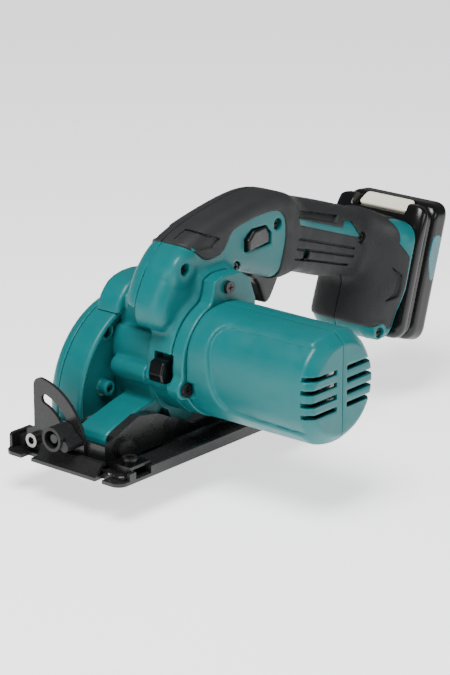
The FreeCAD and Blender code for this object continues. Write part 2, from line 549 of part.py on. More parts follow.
# ---------------------------------------------------------------- motor
def make_motor():
    m = (motor_x, motor_z)
    parts["rotor_shaft"] = fuse([rod("y", m, 7.2, 114.0, 2.5),
                                 gear(m, module_fast, motor_teeth, 0.8, 8.2, mesh_phases()[0])])
    core = rod("y", m, 42.0, 88.0, 19.0).cut(rod("y", m, 40, 90, 2.5))
    for k in range(10):
        x, z = polar(19.0, 36 * k, m)
        core = core.cut(rod("y", (x, z), 40, 90, 1.6))
    parts["rotor_core"] = core
    parts["rotor_windings"] = Part.makeCompound([tube("y", m, 34.5, 41.9, 16.0, 4.0),
                                                 tube("y", m, 88.1, 94.0, 15.0, 4.0)])
    bars = tube("y", m, 95.5, 106.0, 9.0, 2.5)
    for k in range(10):
        x, z = polar(9.2, 36 * k, m)
        bars = bars.cut(rod("y", (x, z), 95, 107, 0.7))
    parts["commutator"] = bars
    blades = [rod("y", m, 21.6, 23.0, 22.5), rod("y", m, 21.6, 29.0, 6.0)]
    for k in range(11):
        vane = box(m[0] + 5.0, m[0] + 22.0, 22.5, 29.0, m[1] - 0.8, m[1] + 0.8)
        vane.rotate(V(m[0], 0, m[1]), V(0, 1, 0), k * 360.0 / 11)
        blades.append(vane)
    parts["cooling_fan"] = fuse(blades).cut(rod("y", m, 10, 30, 2.5))
    can = tube("y", m, 31.0, 108.0, can_radius, can_radius - 1.6)
    parts["motor_can"] = can.fuse(tube("y", m, 31.0, 32.6, can_radius - 1.6, 20.0)).removeSplitter()
    magnets = []
    for a0 in (-60, 120):
        magnets.append(sector(m, 19.8, can_radius - 1.6, a0, a0 + 120, 42.0, 88.0))
    parts["motor_magnets"] = Part.makeCompound(magnets)
    bell = tube("y", m, 108.0, 109.6, can_radius, 5.0).fuse(tube("y", m, 108.0, 113.6, 12.0, 9.5)).removeSplitter()
    parts["motor_end_bell"] = bell
    holders, brushes = [], []
    for way in (-1, 1):
        z0, z1 = sorted((m[1] + way * 10.0, m[1] + way * 21.0))
        outer = box(m[0] - 4.5, m[0] + 4.5, 97.0, 108.0, z0, z1)
        inner = box(m[0] - 3.0, m[0] + 3.0, 98.5, 103.5, z0 - 1, z1 + 1)
        holders.append(outer.cut(inner))
        b0, b1 = sorted((m[1] + way * 9.1, m[1] + way * 17.0))
        brushes.append(box(m[0] - 2.95, m[0] + 2.95, 98.55, 103.45, b0, b1))
    parts["brush_holders"] = Part.makeCompound(holders)
    parts["brushes"] = Part.makeCompound(brushes)

    flange = tube("y", m, 29.0, flange_y1, flange_radius, can_radius + 0.1)
    for place in flange_screw_places:
        flange = flange.fuse(rod("y", place, 29.0, flange_y1, 5.0))
    flange = flange.cut(rod("y", m, 20, 50, can_radius + 0.1))
    for place in flange_screw_places:
        flange = flange.cut(rod("y", place, 20, 50, screw_radius))
    parts["motor_flange"] = flange.removeSplitter()

    def square(half, y):
        return [(m[0] - half, m[1] - half), (m[0] + half, m[1] - half), (m[0] + half, m[1] + half),
                (m[0] - half, m[1] + half)], y

    def tapered(extra, y0, y1):
        wires = []
        for y in (y0, y1):
            share = (y - flange_y1) / (cover_end_y - flange_y1)
            half = (1 - share) * flange_radius + share * cover_end_half + extra
            corner = (1 - share) * 29.0 + share * 11.0 + extra
            pts, _ = square(half, y)
            wires.append(sketch("xz", pts, corner, y))
        return Part.makeLoft(wires, True, True)
    outer = tapered(0.0, flange_y1, cover_end_y)
    inner = tapered(-shell_wall, flange_y1 - 0.5, cover_end_y - 3.0)
    shell = outer.cut(inner)
    for k in range(4):
        z = m[1] - 17.5 + vent_pitch * k
        for x0, x1 in ((m[0] - 20.0, m[0] - 4.0), (m[0] + 4.0, m[0] + 20.0)):
            shell = shell.cut(prism("xz", [(x0, z - 1.6), (x1, z - 1.6), (x1, z + 1.6), (x0, z + 1.6)],
                                    cover_end_y - 5, cover_end_y + 1, 1.5))
    front = shell.common(box(m[0], 80, 0, 200, -20, 120))
    rear = shell.common(box(-80, m[0], 0, 200, -20, 120))
    parts["motor_cover_front"] = front
    parts["motor_cover_rear"] = rear


vent_pitch = 7.0
can_radius = 24.6
flange_screw_places = [(28.4, 39.0), (-7.4, 89.0), (-31.0, 29.0), (-37.0, 62.0)]


# ---------------------------------------------------------------- handle and foot
handle_points = [(12, 67, 3), (34, 68, 3), (34.5, 74, 6), (33.5, 86, 12), (25, 101, 12), (13, 113.5, 12),
                 (0, 118.8, 30), (-45, 127.5, 40), (-66, 126.5, 30), (-84, 119.5, 20), (-120, 108.5, 40),
                 (-150, 98.5, 20), (-166, 92, 8), (-160, 62, 6), (-132, 60, 10), (-122, 64, 12), (-108, 68.5, 12),
                 (-95, 73, 20), (-80, 76.0, 20), (-64, 74, 12), (-46, 66, 10), (-34, 67, 8), (-20, 75, 20), (0, 75, 20)]
foot_points = [(0.3, -foot_half), (0.3, foot_half), (9.0, foot_half), (17.5, foot_half - 9), (17.5, 9 - foot_half),
               (9.0, -foot_half)]
foot_low, foot_high = -66.0, 2.0
head_right, head_left = -12.0, 26.5
rubber_rear_limit, rubber_front_limit = -152.0, -79.0
trigger_slot = (-87.0, -53.0, 1.6, 13.4)
channel_half, channel_depth = 20.4, 8.6


def handle_block(shrink):
    """Grip, its front head and the battery foot as one outer form, shrunk all round for the inside."""
    y0, y1 = handle_mid_y - grip_half + shrink, handle_mid_y + grip_half - shrink
    edge = 5.0
    wide = prism("xz", handle_points, y0 + edge, y1 - edge, 6.0, shrink) if shrink else prism(
        "xz", handle_points, y0 + edge, y1 - edge, 6.0)
    thin = prism("xz", handle_points, y0, y1, 6.0, shrink + 2.5)
    grip = wide.fuse(thin)
    z0, z1 = foot_low + shrink, foot_high - shrink
    pts = [(foot_points[0][0] + (shrink if shrink else 0.0), -foot_half + shrink),
           (foot_points[0][0] + (shrink if shrink else 0.0), foot_half - shrink),
           (9.0 - 0.3 * shrink, foot_half - shrink), (17.5 - shrink, foot_half - 9 - 0.3 * shrink),
           (17.5 - shrink, 9 - foot_half + 0.3 * shrink), (9.0 - 0.3 * shrink, -foot_half + shrink)]
    pts = [(x, y + foot_mid_y) for x, y in pts]
    foot = leaned_prism(pts, z0, z1, 3.0)
    keep = leaned(0.3 + shrink, 300, -100, 100, -200, 100)
    return grip.common(keep).fuse(foot)


def make_handle():
    m = (motor_x, motor_z)
    outer, inner = handle_block(0.0), handle_block(shell_wall)
    tongue_space = leaned(0.0, channel_depth, battery_mid_y - channel_half, battery_mid_y + channel_half, -62.0, 10.0)
    tongue_wall = leaned(0.2, channel_depth + 2.0, battery_mid_y - channel_half - 2, battery_mid_y + channel_half + 2,
                         -64.0, foot_high)
    hollow = outer.cut(inner).fuse(tongue_wall.common(outer)).cut(tongue_space)
    x0, x1, y0, y1 = trigger_slot
    hollow = hollow.cut(box(x0, x1, y0, y1, 40, 84))
    gearbox_room = fuse([rod("y", m, gearbox_y0, gearbox_y1 + 0.2, 24.3),
                         rod("y", idler, gearbox_y0, gearbox_y1 + 0.2, 18.8),
                         rod("y", (31.0, 66.0), case_left, 0.2, 4.8),
                         prism("xz", [(10, 45), (34, 45), (34, 75), (0, 75)], case_left, 4.2)])
    hollow = hollow.cut(gearbox_room)

    # left half reaches down round the gearbox and meets the motor flange
    left_outer = rod("y", m, gearbox_y1 + 0.2, 29.0, 34.0).fuse(
        prism("xz", handle_points[:7] + [(-20, 122), (-40, 118), (-40, 60)], gearbox_y1 + 0.2, 29.0, 6.0))
    left_outer = left_outer.fuse(rod("y", flange_screw_places[0], gearbox_y1 + 0.2, 29.0, 5.0))
    left_inner = rod("y", m, gearbox_y1, 26.4, 31.4).fuse(
        prism("xz", handle_points[:7] + [(-20, 122), (-40, 118), (-40, 60)], gearbox_y1, 26.4, 6.0, shell_wall))
    left_head = left_outer.cut(left_inner).cut(rod("y", m, 0, 40, can_radius + 0.1))
    left = hollow.common(box(-300, 100, handle_mid_y, 100, -50, 200)).cut(left_inner).fuse(left_head)
    left = left.cut(rod("x", (lock_pin_y, lock_pin_z), 15, 60, 4.2)).cut(box(23.4, 60, 16.8, 28.9, 41.8, 59.4))
    for place in flange_screw_places:
        left = left.cut(rod("y", place, 5, 40, screw_radius))
    left = left.cut(box(-59.4, -34.6, 17.2, 40, 99.8, 112.2)).cut(rod("y", (-47.0, 105.0), 4, 20, 4.8))
    right = hollow.common(box(-300, 100, -100, handle_mid_y, -50, 200))

    skin = handle_block(0.0).cut(handle_block(rubber))
    zone = box(rubber_rear_limit, rubber_front_limit, -60, 60, 40, 140)
    skin = skin.common(zone).cut(box(x0 - 1, x1 + 1, y0 - 1, y1 + 1, 40, 84))
    skin_left = skin.common(box(-300, 100, handle_mid_y, 100, -50, 200))
    skin_right = skin.common(box(-300, 100, -100, handle_mid_y, -50, 200))
    for x, z in handle_screw_places:
        boss = rod("y", (x, z), handle_mid_y, handle_mid_y + grip_half - 3.0, 3.4)
        left = left.fuse(boss)
        left = left.cut(rod("y", (x, z), handle_mid_y - 1, 60, screw_radius))
        left = left.cut(rod("y", (x, z), handle_mid_y + 11.0, 60, 3.2))
        skin_left = skin_left.cut(rod("y", (x, z), 0, 60, 3.2))
        right = right.fuse(rod("y", (x, z), handle_mid_y - 12.0, handle_mid_y, 3.4))
        right = right.cut(rod("y", (x, z), handle_mid_y - 8.0, handle_mid_y + 1, screw_radius))
    keep = handle_block(0.0).fuse(left_outer)
    left, right = left.common(keep), right.common(keep)
    parts["handle_left"] = largest(left.cut(skin_left))
    parts["handle_right"] = largest(right.cut(skin_right))
    parts["grip_rubber_left"] = largest(skin_left)
    parts["grip_rubber_right"] = largest(skin_right)


def largest(shape):
    return max(shape.removeSplitter().Solids, key=lambda solid: solid.Volume)


handle_screw_places = [(16.0, 102.0), (-64.5, 110.0), (-28.5, 93.0), (-93.0, 85.0), (-146.0, 83.5)]


def make_controls():
    mid = handle_mid_y
    blade = prism("xz", [(-58, 87), (-65, 88), (-84, 80), (-83, 73), (-78, 66), (-73, 60), (-69.5, 61), (-66, 72),
                         (-56.5, 79)], mid - 5.5, mid + 5.5, 2.0)
    blade = blade.cut(rod("y", trigger_pivot, -20, 40, 1.6 + run))
    parts["trigger"] = blade
    parts["trigger_pin"] = rod("y", trigger_pivot, mid - 13.4, mid + 13.4, 1.6)
    parts["switch"] = fuse([box(-84, -60, mid - 8, mid + 8, 92.5, 105.5), box(-80, -64, mid - 6, mid + 6, 90.6, 92.5)])
    springs = [tube("z", (-79.0, mid), 86.4, 90.4, 2.8, 2.0), tube("y", (-47.0, 105.0), 11.0, 17.0, 4.4, 3.6),
               tube("x", (lock_pin_y, lock_pin_z), 20.0, 23.6, 3.8, 3.0)]
    parts["return_springs"] = Part.makeCompound(springs)

    button = prism("xz", [(-59, 100.2), (-35, 100.2), (-35, 107), (-40, 111.8), (-55, 111.8), (-59, 108)],
                   20.6, 25.6, 1.0)
    parts["lock_off_button"] = button.fuse(rod("y", (-47.0, 105.0), 8.0, 20.6, 3.0)).removeSplitter()

    lock = fuse([prism("xz", [(27.5, 42.2), (37, 44.0), (37, 57.0), (31, 59.0), (27.5, 59.0)], 17.2, 28.6, 1.0),
                 rod("x", (lock_pin_y, lock_pin_z), lock_pin_tip, 28.0, 1.9)])
    parts["shaft_lock"] = lock

    pivot = polar(depth_guide_radius, 180 - depth_bolt_elevation, (depth_x, depth_z))
    parts["depth_clamp_bolt"] = fuse([rod("y", pivot, -22.8, -4.6, 2.45), rod("y", pivot, -24.8, -20.4, 5.0),
                                      rod("y", pivot, -5.6, -3.2, 4.6)])
    lever = fuse([rod("y", pivot, case_left + 0.2, -6.0, 6.5),
                  prism("xz", [(pivot[0] - 30, pivot[1] + 1), (pivot[0] - 30, pivot[1] + 8), (pivot[0] - 6, pivot[1] + 5),
                               (pivot[0], pivot[1] + 5), (pivot[0], pivot[1] - 6), (pivot[0] - 8, pivot[1] - 4)],
                        -12.0, -8.0, 1.5)])
    parts["depth_lever"] = lever.cut(rod("y", pivot, -30, 10, 2.45 + run))


trigger_pivot = (-61.0, 84.0)
lock_pin_y, lock_pin_z, lock_pin_tip = 19.6, 44.0, 19.4


# ---------------------------------------------------------------- battery
def tipped(shape):
    """Turn a leaning shape about the battery's top front edge, so that it leans only as much as the top."""
    shape.rotate(V(battery_top[0], 0, battery_top[1]), V(0, 1, 0), lean - top_lean)
    return shape


def make_battery():
    y0, y1 = battery_mid_y - battery_half, battery_mid_y + battery_half
    low, high = -battery_height, 0.0
    slab = [(-battery_depth, y0), (-battery_depth, y1), (-0.2, y1), (-0.2, y0)]
    case = leaned_prism(slab, low, high + 8.0, 6.0).cut(tipped(leaned(-60, 30, -100, 100, high, 60)))
    room = [(-battery_depth + 2.2, y0 + 2.2), (-battery_depth + 2.2, y1 - 2.2), (-2.4, y1 - 2.2), (-2.4, y0 + 2.2)]
    case = case.cut(leaned_prism(room, low + 2.2, high - 2.2, 3.0))
    tongue = leaned(-0.3, channel_depth - 0.4, battery_mid_y - channel_half + 0.4, battery_mid_y + channel_half - 0.4,
                    -61.0, -4.0)
    slots = [leaned(1.5, 7.0, y - 0.8, y + 0.8, -62, -46) for y in terminal_y]
    case = case.fuse(tongue).removeSplitter()
    for cutter in slots:
        case = case.cut(cutter)
    window = tipped(leaned(-22.2, -5.8, battery_mid_y - 18.2, battery_mid_y + 18.2, -5, 3))
    case = case.cut(window)
    split = leaned(-13.0, 20, -100, 100, -100, 20)
    parts["battery_front"] = largest(case.common(split))
    parts["battery_rear"] = largest(case.cut(split))
    cells = [lean_shape(rod("z", (-12.6, battery_mid_y + 19.0 * k), -69.5, -5.2, 9.1)) for k in (-1, 0, 1)]
    parts["battery_cells"] = Part.makeCompound(cells)
    key = [(-21.9, battery_mid_y - 17.9), (-21.9, battery_mid_y + 17.9),
           (-6.1, battery_mid_y + 17.9), (-6.1, battery_mid_y - 17.9)]
    parts["battery_button"] = tipped(leaned_prism(key, -1.6, 0.8, 2.5))
    parts["terminal_block"] = leaned(1.0, 8.2, battery_mid_y - 19, battery_mid_y + 19, -66.0 + shell_wall,
                                     -61.9).fuse(fuse([
                                         leaned(2.2, 6.4, y - 0.45, y + 0.45, -62.0, -50.0) for y in terminal_y
                                     ])).removeSplitter()


terminal_y = [battery_mid_y - 12.0, battery_mid_y, battery_mid_y + 12.0]


# ---------------------------------------------------------------- screws
def screw(axis, centre, tip, head, radius, head_radius, head_height=2.0):
    """Cross-head screw from tip to the underside of its head; the head lies beyond it, away from the tip."""
    way = 1 if head > tip else -1
    lo, hi = sorted((tip, head))
    h0, h1 = sorted((head, head + way * head_height))
    body = rod(axis, centre, lo, hi, radius).fuse(rod(axis, centre, h0, h1, head_radius)).removeSplitter()
    t0, t1 = sorted((head + way * (head_height - 1.0), head + way * (head_height + 1)))
    a, b = centre
    for half_a, half_b in ((0.35, head_radius * 0.55), (head_radius * 0.55, 0.35)):
        body = body.cut(box(a - half_a, a + half_a, t0, t1, b - half_b, b + half_b))
    return body


def make_screws():
    casing = [screw("y", p, handle_mid_y - 7.5, handle_mid_y + 11.0, screw_radius, 2.9)
              for p in handle_screw_places]
    casing += [screw("y", p, -15.0, case_right + 4.2, screw_radius, 2.6, 2.2) for p in case_screw_places]
    casing += [screw("y", (31.0, 66.0), -13.0, 0.0, screw_radius, 3.2),
               screw("y", (30.0, 28.0), -11.0, 2.0, screw_radius, 3.0)]
    parts["casing_screws"] = Part.makeCompound(casing)
    parts["flange_screws"] = Part.makeCompound([
        screw("y", p, 14.4, flange_y1, screw_radius, 3.6) for p in flange_screw_places])


def make_seats():
    """Cut each casing piece clear of what is seated in it."""
    seated = {
        "handle_left": ["gear_housing", "gear_cover", "terminal_block", "switch", "flange_screws", "casing_screws",
                        "return_springs", "blade_case", "ball_bearings"],
        "handle_right": ["gear_housing", "terminal_block", "switch", "casing_screws", "blade_case"],
        "gear_housing": ["casing_screws", "ball_bearings", "blade_case", "idler_bushes"],
        "gear_cover": ["ball_bearings", "idler_bushes"],
        "blade_case": ["casing_screws"],
        "blade_case_cover": ["casing_screws"],
        "motor_flange": ["flange_screws", "handle_left"],
        "motor_cover_front": ["flange_screws"],
        "motor_cover_rear": ["flange_screws"],
        "base_plate": ["base_rivets"],
    }
    for outer, inner in seated.items():
        for name in inner:
            parts[outer] = parts[outer].cut(parts[name])
        parts[outer] = largest(parts[outer])


for make in (make_base, make_quadrant, make_tilt, make_bevel_knob, make_blade_case, make_gearbox, make_train,
             make_guard, make_motor, make_handle, make_controls, make_battery, make_screws, make_seats):
    make()

os.makedirs("parts", exist_ok=True)
for name, shape in parts.items():
    shape.exportStep("parts/" + name + ".step")
    box_now = shape.BoundBox
    print("%-20s solids %d valid %s volume %.0f  x %.1f..%.1f  y %.1f..%.1f  z %.1f..%.1f" % (
        name, len(shape.Solids), shape.isValid(), shape.Volume, box_now.XMin, box_now.XMax, box_now.YMin,
        box_now.YMax, box_now.ZMin, box_now.ZMax))
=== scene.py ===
"""Looks of the circular saw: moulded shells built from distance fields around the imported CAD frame.

Shapes are given in millimetres in the frame of the CAD model and turned into metres when a mesh is made.
"""

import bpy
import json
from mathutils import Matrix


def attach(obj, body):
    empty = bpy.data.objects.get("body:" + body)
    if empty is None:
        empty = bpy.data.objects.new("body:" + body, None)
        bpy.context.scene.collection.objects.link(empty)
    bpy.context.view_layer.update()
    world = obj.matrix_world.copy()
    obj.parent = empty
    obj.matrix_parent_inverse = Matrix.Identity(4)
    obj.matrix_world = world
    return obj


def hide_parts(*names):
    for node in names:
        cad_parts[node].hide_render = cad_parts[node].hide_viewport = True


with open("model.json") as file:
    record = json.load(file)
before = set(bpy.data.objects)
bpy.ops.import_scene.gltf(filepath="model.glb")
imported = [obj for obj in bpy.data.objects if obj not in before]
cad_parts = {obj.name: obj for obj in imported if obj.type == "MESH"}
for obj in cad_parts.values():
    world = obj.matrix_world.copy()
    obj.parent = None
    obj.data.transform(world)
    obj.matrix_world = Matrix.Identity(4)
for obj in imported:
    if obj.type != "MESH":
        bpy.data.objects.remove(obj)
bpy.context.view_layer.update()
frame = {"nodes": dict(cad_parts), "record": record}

import json
import math

import bpy
import numpy as np
from mathutils import Vector

MM = 0.001

# ---------------------------------------------------------------- places taken over from the design
SPINDLE = (2.0, 22.0)
MOTOR = (-3.0, 50.0)
CASE_RADIUS = 55.0
FLANGE_SCREWS = [(28.4, 39.0), (-7.4, 89.0), (-31.0, 29.0), (-37.0, 62.0)]
HANDLE_SCREWS = [(16.0, 102.0), (-64.5, 110.0), (-28.5, 93.0), (-93.0, 85.0), (-146.0, 83.5)]
SCREW_TOPS = [24.6, 24.4, 25.5, 21.3, 22.5]
CHIN_SCREW = (-150.0, 26.5)
CASE_SCREW = (30.5, 61.6)
CASE_LUG = (SPINDLE[0] - 55.4 * math.sqrt(0.5), SPINDLE[1] + 55.4 * math.sqrt(0.5))
BOSS = (26.4, 42.3)
LEAN = math.radians(17.0)
BATTERY_TOP = (-180.0, 91.0)
HANDLE_MID = 7.5
FOOT_MID = 8.5
SHELL_DRUM_Y = (12.2, 28.9)
RING_Y = (29.15, 37.9)
COVER_Y = (38.1, 121.0)
CAN_ROOM = 24.8
CASE_SEAM_Y = -30.0
HALF_GAP = 0.12
RUBBER_PROUD = 0.75
SHARP_ANGLE = 40.0


# ---------------------------------------------------------------- distance fields
def join(a, b, k=0.0):
    """Union of two fields, with a fillet of size k."""
    if np.ndim(k) == 0 and k <= 0:
        return np.minimum(a, b)
    h = np.clip(0.5 + 0.5 * (b - a) / k, 0, 1)
    return b + (a - b) * h - k * h * (1 - h)


def meet(a, b, k=0.0):
    """Intersection of two fields, with an edge rounded over k."""
    return -join(-a, -b, k)


def cut(a, b, k=0.0):
    """The first field without the second, with an edge rounded over k."""
    return meet(a, -b, k)


def between(w, low, high):
    """Slab between two places along one direction."""
    return np.abs(w - 0.5 * (low + high)) - 0.5 * (high - low)


def disc(u, v, centre, radius):
    """Round bar across the plane of u and v."""
    return np.hypot(u - centre[0], v - centre[1]) - radius


def rounded_outline(points, times=2):
    """Chaikin corner cutting: a smooth closed outline from a few control points."""
    p = np.array(points, float)
    for _ in range(times):
        q = np.roll(p, -1, axis=0)
        p = np.stack([0.75 * p + 0.25 * q, 0.25 * p + 0.75 * q], 1).reshape(-1, 2)
    return p


def outline(points, u, v, times=0):
    """Signed distance from a closed outline in a plane, negative inside."""
    p = rounded_outline(points, times) if times else np.array(points, float)
    best = np.full(np.broadcast(u, v).shape, 1e9)
    inside = np.zeros(best.shape, bool)
    for a, b in zip(p, np.roll(p, -1, axis=0)):
        e = b - a
        wu, wv = u - a[0], v - a[1]
        t = np.clip((wu * e[0] + wv * e[1]) / (e @ e), 0, 1)
        best = np.minimum(best, (wu - e[0] * t) ** 2 + (wv - e[1] * t) ** 2)
        if a[1] != b[1]:
            crossing = (a[1] > v) != (b[1] > v)
            inside ^= crossing & (wu < e[0] * wv / e[1])
    return np.where(inside, -1, 1) * np.sqrt(best)


def ramp(x, x0, x1):
    """Smooth change from 0 at x0 to 1 at x1."""
    t = np.clip((x - x0) / (x1 - x0), 0, 1)
    return t * t * (3 - 2 * t)


def bar(u, v, a, b, radius):
    """Distance from a straight bar with round ends."""
    e = np.array(b, float) - a
    t = np.clip(((u - a[0]) * e[0] + (v - a[1]) * e[1]) / (e @ e), 0, 1)
    return np.hypot(u - a[0] - e[0] * t, v - a[1] - e[1] * t) - radius


def leaning(x, z):
    """Distance ahead of the battery's sliding plane, and height along it from the battery's top."""
    dx, dz = x - BATTERY_TOP[0], z - BATTERY_TOP[1]
    return dx * math.cos(LEAN) + dz * math.sin(LEAN), dz * math.cos(LEAN) - dx * math.sin(LEAN)


# ---------------------------------------------------------------- meshing
def surface_net(field, low, high, step):
    """Closed quad mesh of the zero surface of a field, with its points moved onto the surface."""
    axes = [np.arange(a, b + step, step) for a, b in zip(low, high)]
    grid = np.ix_(*axes)
    d = np.broadcast_to(field(*grid), [len(a) for a in axes]).astype(np.float32)
    n = np.array(d.shape) - 1
    inside = d < 0
    count = np.zeros(n, np.int8)
    offsets = [(i, j, k) for i in (0, 1) for j in (0, 1) for k in (0, 1)]
    for i, j, k in offsets:
        count += inside[i:n[0] + i, j:n[1] + j, k:n[2] + k]
    cells = np.argwhere((count > 0) & (count < 8))
    number = np.full(n, -1, np.int64)
    number[tuple(cells.T)] = np.arange(len(cells))
    total = np.zeros((len(cells), 3))
    hits = np.zeros(len(cells))
    for a in offsets:
        for axis in range(3):
            if a[axis]:
                continue
            b = list(a)
            b[axis] = 1
            da = d[tuple((cells + a).T)]
            db = d[tuple((cells + b).T)]
            crossed = (da < 0) != (db < 0)
            t = np.where(crossed, da / np.where(crossed, da - db, 1), 0)
            point = np.tile(np.array(a, float), (len(cells), 1))
            point[:, axis] = t
            total += point * crossed[:, None]
            hits += crossed
    points = np.array(low) + (cells + total / hits[:, None]) * step
    faces = []
    for axis in range(3):
        u, v = (axis + 1) % 3, (axis + 2) % 3
        first = [slice(1, m) for m in n]
        first[axis] = slice(0, n[axis])
        second = list(first)
        second[axis] = slice(1, n[axis] + 1)
        a, b = inside[tuple(first)], inside[tuple(second)]
        for outward, wanted in ((1, a & ~b), (-1, ~a & b)):
            base = np.argwhere(wanted) + [0 if i == axis else 1 for i in range(3)]
            corners = []
            for du, dv in ((0, 0), (1, 0), (1, 1), (0, 1))[::outward]:
                c = base.copy()
                c[:, u] -= du
                c[:, v] -= dv
                corners.append(number[tuple(c.T)])
            faces.append(np.stack(corners, 1))
    faces = np.concatenate(faces)
    eps = 0.05
    start = points.copy()
    for _ in range(4):
        value = field(*points.T)
        slope = np.stack([field(*(points + eps * axis).T) - field(*(points - eps * axis).T)
                          for axis in np.eye(3)], 1) / (2 * eps)
        size = np.maximum((slope ** 2).sum(1), 0.25)
        points = points - slope * np.clip(value / size, -0.4 * step, 0.4 * step)[:, None]
        points = start + np.clip(points - start, -0.8 * step, 0.8 * step)
    return points, faces


def new_mesh(name, points, faces, material):
    """Smooth-shaded object from points in millimetres and quads."""
    mesh = bpy.data.meshes.new(name)
    mesh.vertices.add(len(points))
    mesh.vertices.foreach_set("co", (np.asarray(points) * MM).astype(np.float32).ravel())
    mesh.loops.add(faces.size)
    mesh.loops.foreach_set("vertex_index", faces.astype(np.int32).ravel())
    mesh.polygons.add(len(faces))
    mesh.polygons.foreach_set("loop_start", np.arange(0, faces.size, 4, dtype=np.int32))
    mesh.update(calc_edges=True)
    mesh.validate()
    mesh.polygons.foreach_set("use_smooth", np.ones(len(mesh.polygons), bool))
    mesh.set_sharp_from_angle(angle=math.radians(SHARP_ANGLE))
    mesh.materials.append(material)
    piece = bpy.data.objects.new(name, mesh)
    bpy.context.scene.collection.objects.link(piece)
    return piece


def moulded(name, field, low, high, step, material, body, replaced=()):
    """One moulded piece: mesh the field, then fasten it to its body."""
    points, faces = surface_net(field, low, high, step)
    piece = new_mesh(name, points, faces, material)
    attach(piece, body)
    if replaced:
        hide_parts(*replaced)
    return piece


# ---------------------------------------------------------------- materials
def new_material(name, colour, roughness, metallic=0.0, grain=0.0, grain_size=900.0, mottle=0.06, coat=0.0,
                 edge_highlight=0.0, specular=0.5, rough_spread=0.08):
    """Procedural finish: colour mottle, roughness variation, moulded grain in the bump and a painted highlight that
    lightens convex edges.
    """
    material = bpy.data.materials.new(name)
    material.use_nodes = True
    nodes, links = material.node_tree.nodes, material.node_tree.links
    shader = nodes["Principled BSDF"]
    shader.inputs["Metallic"].default_value = metallic
    shader.inputs["Specular IOR Level"].default_value = specular
    shader.inputs["Coat Weight"].default_value = coat
    shader.inputs["Coat Roughness"].default_value = 0.1
    place = nodes.new("ShaderNodeTexCoord").outputs["Object"]

    def noise(scale, detail):
        node = nodes.new("ShaderNodeTexNoise")
        node.inputs["Scale"].default_value = scale
        node.inputs["Detail"].default_value = detail
        node.inputs["Roughness"].default_value = 0.55
        links.new(place, node.inputs["Vector"])
        return node.outputs["Fac"]

    broad = noise(38.0, 4.0)
    fine = noise(grain_size, 2.0)
    colours = nodes.new("ShaderNodeValToRGB")
    links.new(broad, colours.inputs["Fac"])
    dark = [c * (1 - mottle) for c in colour]
    light = [min(1.0, c * (1 + mottle)) for c in colour]
    colours.color_ramp.elements[0].position = 0.3
    colours.color_ramp.elements[0].color = (*dark, 1)
    colours.color_ramp.elements[1].position = 0.7
    colours.color_ramp.elements[1].color = (*light, 1)
    colour_out = colours.outputs["Color"]
    # Painted highlight: on convex edges, found by pointiness, the colour is mixed towards a lighter tone.
    if edge_highlight:
        geometry = nodes.new("ShaderNodeNewGeometry").outputs["Pointiness"]
        edge = nodes.new("ShaderNodeMapRange")
        edge.inputs["From Min"].default_value = 0.52
        edge.inputs["From Max"].default_value = 0.60
        edge.inputs["To Max"].default_value = edge_highlight
        links.new(geometry, edge.inputs["Value"])
        edge_highlight_mix = nodes.new("ShaderNodeMix")
        edge_highlight_mix.data_type = "RGBA"
        links.new(edge.outputs["Result"], edge_highlight_mix.inputs["Factor"])
        links.new(colour_out, edge_highlight_mix.inputs["A"])
        edge_highlight_mix.inputs["B"].default_value = (*[min(1.0, 1.6 * c + 0.03) for c in colour], 1)
        colour_out = edge_highlight_mix.outputs["Result"]
    links.new(colour_out, shader.inputs["Base Color"])
    spread = nodes.new("ShaderNodeMapRange")
    spread.inputs["From Min"].default_value = 0.3
    spread.inputs["From Max"].default_value = 0.7
    spread.inputs["To Min"].default_value = max(0.02, roughness - rough_spread)
    spread.inputs["To Max"].default_value = roughness + rough_spread
    links.new(noise(120.0, 3.0), spread.inputs["Value"])
    links.new(spread.outputs["Result"], shader.inputs["Roughness"])
    if grain:
        bump = nodes.new("ShaderNodeBump")
        bump.inputs["Strength"].default_value = grain
        bump.inputs["Distance"].default_value = 0.00025
        links.new(fine, bump.inputs["Height"])
        links.new(bump.outputs["Normal"], shader.inputs["Normal"])
    return material


TEAL = (0.0, 0.112, 0.118)
# The edge value sets the strength of a painted highlight on the convex edges of the teal moulding.
teal = new_material("teal_moulded", TEAL, 0.38, specular=0.35, grain=0.35, grain_size=1500.0, mottle=0.05,
                    edge_highlight=0.25)
rubber = new_material("grey_rubber", (0.015, 0.016, 0.0165), 0.58, grain=0.8, grain_size=1800.0, mottle=0.10,
                      specular=0.28)
gloss_black = new_material("gloss_black_plastic", (0.003, 0.003, 0.0033), 0.2, grain=0.05, mottle=0.2,
                           specular=0.35,
                           rough_spread=0.05)
satin_black = new_material("satin_black_plastic", (0.004, 0.004, 0.0042), 0.34, grain=0.3, grain_size=1400.0,
                           mottle=0.15, specular=0.35)
